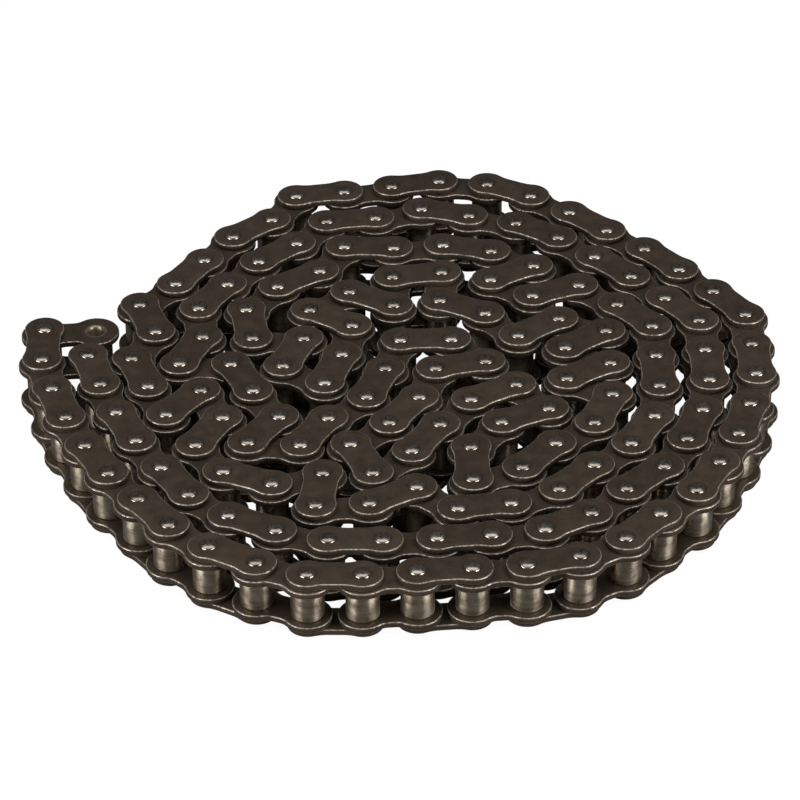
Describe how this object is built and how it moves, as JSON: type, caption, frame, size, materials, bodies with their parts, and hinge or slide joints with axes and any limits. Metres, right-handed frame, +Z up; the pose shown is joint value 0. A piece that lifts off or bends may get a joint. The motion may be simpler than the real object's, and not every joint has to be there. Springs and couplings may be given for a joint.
{
  "type": "roller chain",
  "caption": "Riveted steel roller chain lying folded in a flat coil, with a free end of separate hinged links and spinning rollers and an open bush for a joining pin",
  "frame": {"origin": "middle of the box of the lying coil, at the floor that it lies on", "axes": "+Z up, along every pin; +X to the right and +Y away, seen from the side that the free end's links close first"},
  "size_m": [0.2816, 0.2672, 0.0248],
  "materials": {
    "plate_steel": "heat-darkened, lightly oiled",
    "pin_steel": "ground, riveted ends",
    "bush_steel": "ground, oiled",
    "roller_steel": "tumbled, oiled"
  },
  "bodies": {
    "coil": {"coil_inner_plates_lower": "plate_steel", "coil_inner_plates_upper": "plate_steel", "coil_outer_plates_lower": "plate_steel", "coil_outer_plates_upper": "plate_steel", "coil_pins": "pin_steel", "coil_bushes": "bush_steel", "coil_rollers": "roller_steel"},
    "inner_link_1": {"inner_link_1_plates": "plate_steel", "inner_link_1_bushes": "bush_steel"},
    "outer_link_1": {"outer_link_1_plates": "plate_steel", "outer_link_1_pins": "pin_steel"},
    "inner_link_1_roller_a": {"inner_link_1_roller_a": "roller_steel"},
    "inner_link_1_roller_b": {"inner_link_1_roller_b": "roller_steel"},
    "inner_link_2": {"inner_link_2_plates": "plate_steel", "inner_link_2_bushes": "bush_steel"},
    "outer_link_2": {"outer_link_2_plates": "plate_steel", "outer_link_2_pins": "pin_steel"},
    "inner_link_2_roller_a": {"inner_link_2_roller_a": "roller_steel"},
    "inner_link_2_roller_b": {"inner_link_2_roller_b": "roller_steel"},
    "inner_link_3": {"inner_link_3_plates": "plate_steel", "inner_link_3_bushes": "bush_steel"},
    "outer_link_3": {"outer_link_3_plates": "plate_steel", "outer_link_3_pins": "pin_steel"},
    "inner_link_3_roller_a": {"inner_link_3_roller_a": "roller_steel"},
    "inner_link_3_roller_b": {"inner_link_3_roller_b": "roller_steel"},
    "inner_link_4": {"inner_link_4_plates": "plate_steel", "inner_link_4_bushes": "bush_steel"},
    "outer_link_4": {"outer_link_4_plates": "plate_steel", "outer_link_4_pins": "pin_steel"},
    "inner_link_4_roller_a": {"inner_link_4_roller_a": "roller_steel"},
    "inner_link_4_roller_b": {"inner_link_4_roller_b": "roller_steel"},
    "inner_link_5": {"inner_link_5_plates": "plate_steel", "inner_link_5_bushes": "bush_steel"},
    "outer_link_5": {"outer_link_5_plates": "plate_steel", "outer_link_5_pins": "pin_steel"},
    "inner_link_5_roller_a": {"inner_link_5_roller_a": "roller_steel"},
    "inner_link_5_roller_b": {"inner_link_5_roller_b": "roller_steel"},
    "inner_link_6": {"inner_link_6_plates": "plate_steel", "inner_link_6_bushes": "bush_steel"},
    "outer_link_6": {"outer_link_6_plates": "plate_steel", "outer_link_6_pins": "pin_steel"},
    "inner_link_6_roller_a": {"inner_link_6_roller_a": "roller_steel"},
    "inner_link_6_roller_b": {"inner_link_6_roller_b": "roller_steel"}
  },
  "joints": [
    {"name": "outer_link_1_hinge", "type": "hinge", "parent": "inner_link_2", "child": "outer_link_1", "pos_m": [-0.13175, 0.00478, 0.01239], "axis": [0, 0, 1], "range_deg": [0, 20]},
    {"name": "inner_link_1_hinge", "type": "hinge", "parent": "outer_link_1", "child": "inner_link_1", "pos_m": [-0.13208, 0.02382, 0.01239], "axis": [0, 0, 1], "range_deg": [0, 85]},
    {"name": "inner_link_1_roller_a_spin", "type": "hinge", "parent": "inner_link_1", "child": "inner_link_1_roller_a", "pos_m": [-0.11311, 0.02548, 0.01239], "axis": [0, 0, 1], "continuous": true},
    {"name": "inner_link_1_roller_b_spin", "type": "hinge", "parent": "inner_link_1", "child": "inner_link_1_roller_b", "pos_m": [-0.13208, 0.02382, 0.01239], "axis": [0, 0, 1], "continuous": true},
    {"name": "outer_link_2_hinge", "type": "hinge", "parent": "inner_link_3", "child": "outer_link_2", "pos_m": [-0.12062, -0.03164, 0.01239], "axis": [0, 0, 1], "range_deg": [0, 20]},
    {"name": "inner_link_2_hinge", "type": "hinge", "parent": "outer_link_2", "child": "inner_link_2", "pos_m": [-0.12682, -0.01363, 0.01239], "axis": [0, 0, 1], "range_deg": [0, 20]},
    {"name": "inner_link_2_roller_a_spin", "type": "hinge", "parent": "inner_link_2", "child": "inner_link_2_roller_a", "pos_m": [-0.13175, 0.00478, 0.01239], "axis": [0, 0, 1], "continuous": true},
    {"name": "inner_link_2_roller_b_spin", "type": "hinge", "parent": "inner_link_2", "child": "inner_link_2_roller_b", "pos_m": [-0.12682, -0.01363, 0.01239], "axis": [0, 0, 1], "continuous": true},
    {"name": "outer_link_3_hinge", "type": "hinge", "parent": "inner_link_4", "child": "outer_link_3", "pos_m": [-0.10333, -0.06556, 0.01239], "axis": [0, 0, 1], "range_deg": [0, 20]},
    {"name": "inner_link_3_hinge", "type": "hinge", "parent": "outer_link_3", "child": "inner_link_3", "pos_m": [-0.11257, -0.0489, 0.01239], "axis": [0, 0, 1], "range_deg": [0, 20]},
    {"name": "inner_link_3_roller_a_spin", "type": "hinge", "parent": "inner_link_3", "child": "inner_link_3_roller_a", "pos_m": [-0.12062, -0.03164, 0.01239], "axis": [0, 0, 1], "continuous": true},
    {"name": "inner_link_3_roller_b_spin", "type": "hinge", "parent": "inner_link_3", "child": "inner_link_3_roller_b", "pos_m": [-0.11257, -0.0489, 0.01239], "axis": [0, 0, 1], "continuous": true},
    {"name": "outer_link_4_hinge", "type": "hinge", "parent": "inner_link_5", "child": "outer_link_4", "pos_m": [-0.0804, -0.09599, 0.01239], "axis": [0, 0, 1], "range_deg": [0, 20]},
    {"name": "inner_link_4_hinge", "type": "hinge", "parent": "outer_link_4", "child": "inner_link_4", "pos_m": [-0.09187, -0.08078, 0.01239], "axis": [0, 0, 1], "range_deg": [0, 20]},
    {"name": "inner_link_4_roller_a_spin", "type": "hinge", "parent": "inner_link_4", "child": "inner_link_4_roller_a", "pos_m": [-0.10333, -0.06556, 0.01239], "axis": [0, 0, 1], "continuous": true},
    {"name": "inner_link_4_roller_b_spin", "type": "hinge", "parent": "inner_link_4", "child": "inner_link_4_roller_b", "pos_m": [-0.09187, -0.08078, 0.01239], "axis": [0, 0, 1], "continuous": true},
    {"name": "outer_link_5_hinge", "type": "hinge", "parent": "inner_link_6", "child": "outer_link_5", "pos_m": [-0.04936, -0.11773, 0.01239], "axis": [0, 0, 1], "range_deg": [0, 20]},
    {"name": "inner_link_5_hinge", "type": "hinge", "parent": "outer_link_5", "child": "inner_link_5", "pos_m": [-0.06603, -0.10849, 0.01239], "axis": [0, 0, 1], "range_deg": [0, 20]},
    {"name": "inner_link_5_roller_a_spin", "type": "hinge", "parent": "inner_link_5", "child": "inner_link_5_roller_a", "pos_m": [-0.0804, -0.09599, 0.01239], "axis": [0, 0, 1], "continuous": true},
    {"name": "inner_link_5_roller_b_spin", "type": "hinge", "parent": "inner_link_5", "child": "inner_link_5_roller_b", "pos_m": [-0.06603, -0.10849, 0.01239], "axis": [0, 0, 1], "continuous": true},
    {"name": "outer_link_6_hinge", "type": "hinge", "parent": "coil", "child": "outer_link_6", "pos_m": [-0.01253, -0.12489, 0.01239], "axis": [0, 0, 1], "range_deg": [0, 20]},
    {"name": "inner_link_6_hinge", "type": "hinge", "parent": "outer_link_6", "child": "inner_link_6", "pos_m": [-0.03158, -0.12455, 0.01239], "axis": [0, 0, 1], "range_deg": [0, 20]},
    {"name": "inner_link_6_roller_a_spin", "type": "hinge", "parent": "inner_link_6", "child": "inner_link_6_roller_a", "pos_m": [-0.04936, -0.11773, 0.01239], "axis": [0, 0, 1], "continuous": true},
    {"name": "inner_link_6_roller_b_spin", "type": "hinge", "parent": "inner_link_6", "child": "inner_link_6_roller_b", "pos_m": [-0.03158, -0.12455, 0.01239], "axis": [0, 0, 1], "continuous": true}
  ]
}
